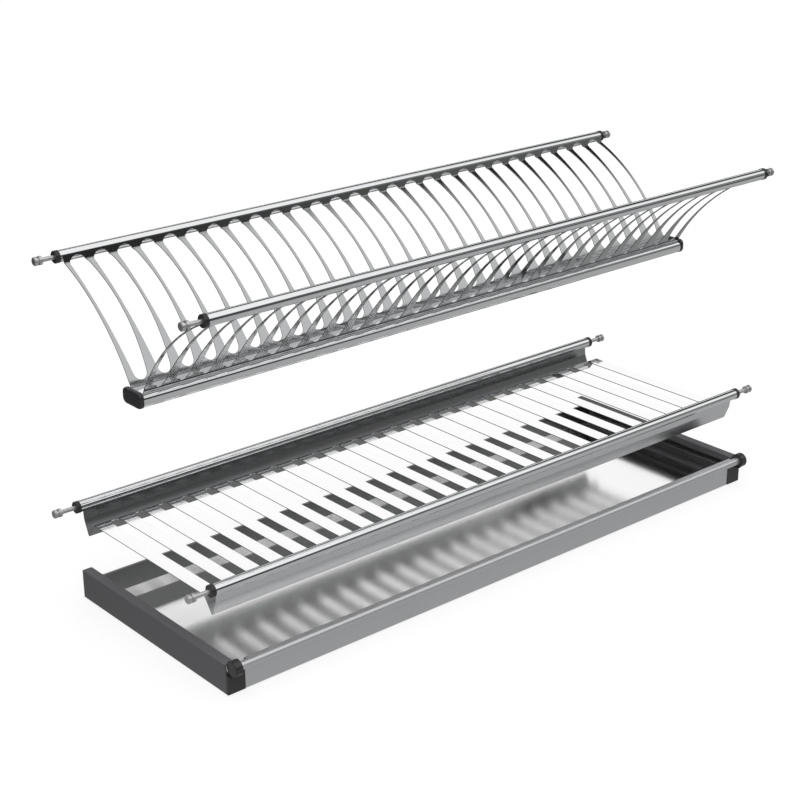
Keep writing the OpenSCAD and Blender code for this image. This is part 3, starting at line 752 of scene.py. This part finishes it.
class RACK_OT_base_channel(bpy.types.Operator):
    """Makes the base channel with its drain slots and its two end caps"""

    bl_idname = "rack.base_channel"
    bl_label = "Base channel"

    def execute(self, context):
        size = context.scene.rack_sizes
        wide, high, wall = (
            v / MM for v in (size.channel_wide, size.channel_high, size.channel_wall))
        top = PLATE_Z - DROP + CHANNEL_H / 2
        place = Matrix.Translation((0, PLATE_Y, top - high / 2))
        body = shell(box_line(wide, high, CHANNEL_R),
                     box_line(wide - 2 * wall, high - 2 * wall, CHANNEL_R - wall), CHANNEL_L)
        parts = [self.drained(context, body, size, high)]
        for side in (-1, 1):
            line = [(side * out, high / 2 + up) for out, up in LIP]
            parts.append(lofted([(-CHANNEL_L / 2, line), (CHANNEL_L / 2, line)]))
        piece("channel", joined("channel", parts), "rail_steel", "base_channel", "plate_rack",
              place)
        for end, way in END.items():
            rings = [(CHANNEL_L / 2 + x,
                      box_line(wide + CAP_WIDER - less, high + CAP_HIGHER - less,
                               CHANNEL_R + CAP_ROUNDER - less / 2, CAP_UP))
                     for x, less in CAP_RINGS]
            piece("channel_cap_" + end, lofted(rings), "black_plastic", "base_cap_" + end,
                  "plate_rack", place @ Matrix.Diagonal((way, 1, 1, 1)))
        return {"FINISHED"}

    def drained(self, context, mesh, size, high):
        """The channel with its row of slots cut through the top."""
        wide = size.drain_w / MM
        line = box_line(size.drain_l / MM, wide, wide / 2 - SLOT_FLAT, n=SLOT_STEPS)
        n = len(line)
        verts, faces = [], []
        for k in range(size.windows):
            x = (k - (size.windows - 1) / 2) * size.pitch / MM
            verts += [(x + a, b, z) for z in (high / 2 - CUT_HALF, high / 2 + CUT_HALF)
                      for a, b in line]
            low = 2 * n * k
            faces += [(low + i, low + (i + 1) % n, low + n + (i + 1) % n, low + n + i)
                      for i in range(n)]
            faces += [tuple(low + i for i in range(n)), tuple(low + n + i for i in range(n))]
        cutter = new_mesh("slots", verts, faces)
        for each in (mesh, cutter):
            tidy(each)
        body, tool = bpy.data.objects.new("body", mesh), bpy.data.objects.new("tool", cutter)
        for each in (body, tool):
            context.collection.objects.link(each)
        cut = body.modifiers.new("cut", "BOOLEAN")
        cut.operation, cut.solver, cut.object = "DIFFERENCE", "EXACT", tool
        context.view_layer.update()
        graph = context.evaluated_depsgraph_get()
        made = bpy.data.meshes.new_from_object(body.evaluated_get(graph))
        for each in (body, tool):
            bpy.data.objects.remove(each)
        return made


# ---------------------------------------------------------------- cup rack, sizes in mm
# Middle line of an edge strip, inwards and upwards from its rail's axis; its bends and length
STRIP = ((1.5, -6.1), (2.5, -16.0), (10.5, -35.0), (23.9, -16.6))
STRIP_BEND, CUP_STRIP_L = 1.4, 805.5


class RACK_OT_cup_rack(bpy.types.Operator):
    """Makes the cup rack's folded edge strips and finishes its ribs"""

    bl_idname = "rack.cup_rack"
    bl_label = "Cup rack"

    def execute(self, context):
        sheet = context.scene.rack_sizes.sheet / MM
        _, y, gap, z, _ = RACKS[1]
        # The rear strip gets the darker copy of the strip steel: painted shade
        for place, finish in (("rear", "shaded_strip"), ("front", "strip_steel")):
            piece("cup_%s_strip" % place, bent_sheet(STRIP, STRIP_BEND, sheet, CUP_STRIP_L),
                  finish, "cup_%s_flange" % place, "cup_rack", on_edge(EDGE[place], y, gap, z))
        dress("rib_steel", "cup_ribs")
        return {"FINISHED"}


class RACK_OT_pins(bpy.types.Operator):
    """Finishes the telescopic pins and their clips"""

    bl_idname = "rack.pins"
    bl_label = "Pins"

    def execute(self, context):
        dress("pin_steel", "plate_pin", "plate_clip", "cup_pin", "cup_clip")
        return {"FINISHED"}


# ---------------------------------------------------------------- drip tray, sizes in mm
# The tray's front: where its face lies, middle line behind that face, its bend and length
TRAY_FRONT_Y = -142.0
FACE, FACE_BEND, FACE_L = ((0.5, 0.0), (0.5, 36.25), (-5.5, 36.25)), 1.2, 768.6
# The bead: radius, wall and length, and its axis (behind the face, up)
BEAD_R, BEAD_WALL, BEAD_L, BEAD_AXIS = 4.75, 1.0, 799.6, (-5.5, 32.0)


class RACK_OT_drip_tray(bpy.types.Operator):
    """Makes the tray's front with its bead and finishes the pan, the profiles and the caps"""

    bl_idname = "rack.drip_tray"
    bl_label = "Drip tray"

    def execute(self, context):
        sheet = context.scene.rack_sizes.sheet / MM
        front = joined("tray_front", [bent_sheet(FACE, FACE_BEND, sheet, FACE_L),
                                      tube(BEAD_R, BEAD_WALL, BEAD_L, *BEAD_AXIS)])
        piece("tray_front", front, "satin_steel", "tray_front_profile", "drip_tray",
              Matrix.Translation((0, TRAY_FRONT_Y, 0)))
        dress("pan_steel", "tray_pan")
        dress("wall_steel", "tray_rear_wall")
        dress("dark_profile", "tray_side")
        dress("black_plastic", "tray_corner")
        return {"FINISHED"}


# ---------------------------------------------------------------- studio, in metres
WHITE = (1.0, 1.0, 1.0, 1.0)
# Brightness of the room in the steel by height, from straight down (0) to straight up (1)
BACK_WALL = ((0.0, 0.40), (0.36, 0.40), (0.41, 0.05), (0.645, 0.05), (0.66, 1.0), (0.74, 1.0),
             (0.76, 0.03), (0.86, 0.03), (0.90, 1.0), (1.0, 1.0))
FRONT_ROOM = ((0.0, 0.45), (0.42, 0.25), (0.48, 0.04), (0.55, 0.03), (0.675, 0.03),
              (0.735, 1.0), (1.0, 1.0))
SIDE_ROOM = ((0.0, 0.45), (0.42, 0.30), (0.50, 0.16), (0.60, 0.28), (0.67, 0.10),
             (0.735, 1.0), (1.0, 1.0))
# The rows below are smooth steps: from, to, value up to there, value from there on.
# Share of the side room by X, and of all that is before the rack by Y
ROOM_ASIDE, ROOM_BEFORE = (0.46, 0.72, 0.0, 1.0), (-0.30, 0.15, 1.0, 0.0)
# Brightness of the floor in the steel by distance, behind and before the rack, and share of
# the latter by Y
FLOOR_BEHIND, FLOOR_BEFORE = (0.9, 2.3, 0.12, 0.02), (0.9, 4.0, 0.42, 0.04)
FLOOR_SHARE = (-0.2, 0.6, 1.0, 0.0)
# The floor as the camera sees it: grey that takes shadows, and glow
FLOOR_GREY, FLOOR_GLOW = (0.30, 0.30, 0.30, 1.0), 0.80
# Half the floor's width, and its height
FLOOR_REACH, FLOOR_Z = 60.0, -0.002
LAMP_SIZE, LAMP_POWER, LAMP_PLACE, LAMP_AIM = 2.4, 8.0, (-1.2, -1.0, 2.8), (0, 0, 0.2)
SENSOR_MM, CLIP_START, CLIP_END = 36.0, 0.05, 200.0


def floor_shader(tree):
    """Pale to the camera; in the steel, darker the further away it is."""
    pale = tree.node("ShaderNodeBsdfDiffuse", None, {"Color": FLOOR_GREY})
    glow = tree.node("ShaderNodeEmission", None, {"Color": WHITE, "Strength": FLOOR_GLOW})
    shown = tree.node("ShaderNodeAddShader", None, {0: pale, 1: glow})
    place = tree.node("ShaderNodeTexCoord", out=3)
    away = tree.node("ShaderNodeVectorMath", {"operation": "LENGTH"}, {0: place}, out=1)
    y = tree.node("ShaderNodeSeparateXYZ", None, {0: place}, out=1)
    share = tree.ramp_of(y, *FLOOR_SHARE)
    bright = (tree.ramp_of(away, *FLOOR_BEFORE) * share
              + tree.ramp_of(away, *FLOOR_BEHIND) * (1 - share))
    mirrored = tree.node("ShaderNodeEmission", None, {"Color": bright, "Strength": 1.0})
    seen = tree.node("ShaderNodeLightPath", out=0)
    return tree.node("ShaderNodeMixShader", None, {0: seen, 1: mirrored, 2: shown})


class RACK_OT_studio(bpy.types.Operator):
    """Makes the pale floor, the soft room light and the camera at the photograph's angle"""

    bl_idname = "rack.studio"
    bl_label = "Studio"

    def execute(self, context):
        scene, stage = context.scene, context.scene.rack_stage
        self.floor(scene)
        self.room(scene, stage)
        self.lamp(scene)
        self.camera(scene, stage)
        scene.view_settings.view_transform = "Standard"
        scene.view_settings.look = "None"
        return {"FINISHED"}

    def floor(self, scene):
        corners = ((-1, -1), (1, -1), (1, 1), (-1, 1))
        mesh = new_mesh("floor", [(x * FLOOR_REACH, y * FLOOR_REACH, FLOOR_Z)
                                  for x, y in corners], [(0, 1, 2, 3)])
        mesh.materials.append(new_material("pale_floor", floor_shader))
        floor = bpy.data.objects.new("floor", mesh)
        scene.collection.objects.link(floor)

    def room(self, scene, stage):
        """The room: white to the camera, brighter and darker in the steel by direction."""
        world = bpy.data.worlds.new("room")
        world.use_nodes = True
        scene.world = world
        tree = Tree(world.node_tree)
        direction = tree.node("ShaderNodeTexCoord", out=0)
        x, y, z = (
            tree.node("ShaderNodeSeparateXYZ", None, {0: direction}, out=i) for i in range(3))
        height = z * 0.5 + 0.5
        behind, before, beside = (
            tree.node("ShaderNodeValToRGB", {"stops": stops}, {0: height})
            for stops in (BACK_WALL, FRONT_ROOM, SIDE_ROOM))
        aside = tree.ramp_of(x, *ROOM_ASIDE)
        share = tree.ramp_of(y, *ROOM_BEFORE)
        grey = (beside * aside + before * (1 - aside)) * share + behind * (1 - share)
        dark = tree.node("ShaderNodeBackground", None, {"Color": grey, "Strength": stage.room})
        white = tree.node("ShaderNodeBackground", None, {"Color": WHITE, "Strength": 1.0})
        seen = tree.node("ShaderNodeLightPath", out=0)
        shader = tree.node("ShaderNodeMixShader", None, {0: seen, 1: dark, 2: white})
        tree.node("ShaderNodeOutputWorld", None, {"Surface": shader})

    def lamp(self, scene):
        lamp = bpy.data.lights.new("soft_box", "AREA")
        lamp.shape, lamp.size, lamp.energy = "DISK", LAMP_SIZE, LAMP_POWER
        made = bpy.data.objects.new("soft_box", lamp)
        made.location = LAMP_PLACE
        aim = Vector(LAMP_AIM) - made.location
        made.rotation_euler = aim.to_track_quat("-Z", "Y").to_euler()
        made.visible_glossy = False
        scene.collection.objects.link(made)

    def camera(self, scene, stage):
        az, el, roll = stage.azimuth, stage.elevation, stage.roll
        forward = Vector((math.sin(az) * math.cos(el), math.cos(az) * math.cos(el),
                          -math.sin(el)))
        right = Vector((math.cos(az), -math.sin(az), 0.0))
        up = right.cross(forward)
        across = math.cos(roll) * right + math.sin(roll) * up
        upright = -math.sin(roll) * right + math.cos(roll) * up
        data = bpy.data.cameras.new("camera")
        data.lens, data.sensor_width = stage.lens, SENSOR_MM
        data.clip_start, data.clip_end = CLIP_START, CLIP_END
        camera = bpy.data.objects.new("camera", data)
        turn = Matrix((across, upright, -forward)).transposed().to_4x4()
        camera.matrix_world = Matrix.Translation(Vector(stage.place)) @ turn
        scene.collection.objects.link(camera)
        scene.camera = camera


# ---------------------------------------------------------------- add-on
STEPS = (RACK_OT_plate_panels, RACK_OT_rails, RACK_OT_base_channel, RACK_OT_cup_rack,
         RACK_OT_pins, RACK_OT_drip_tray, RACK_OT_studio)


class RACK_PT_steps(bpy.types.Panel):
    bl_idname = "RACK_PT_steps"
    bl_label = "Dish rack"
    bl_space_type = "VIEW_3D"
    bl_region_type = "UI"
    bl_category = "Dish rack"

    def draw(self, context):
        for step in STEPS:
            self.layout.operator(step.bl_idname)
        scene = context.scene
        for group in (scene.rack_finish, scene.rack_sizes, scene.rack_stage):
            for name in group.bl_rna.properties.keys():
                if name not in ("rna_type", "name"):
                    self.layout.prop(group, name)


CLASSES = (RackFinish, RackSizes, RackStage, *STEPS, RACK_PT_steps)


def register():
    for item in CLASSES:
        bpy.utils.register_class(item)
    bpy.types.Scene.rack_finish = PointerProperty(type=RackFinish)
    bpy.types.Scene.rack_sizes = PointerProperty(type=RackSizes)
    bpy.types.Scene.rack_stage = PointerProperty(type=RackStage)


def unregister():
    for name in ("rack_finish", "rack_sizes", "rack_stage"):
        delattr(bpy.types.Scene, name)
    for item in reversed(CLASSES):
        bpy.utils.unregister_class(item)


def main():
    register()
    for step in STEPS:
        family, name = step.bl_idname.split(".")
        getattr(getattr(bpy.ops, family), name)()


if __name__ == "__main__":
    main()
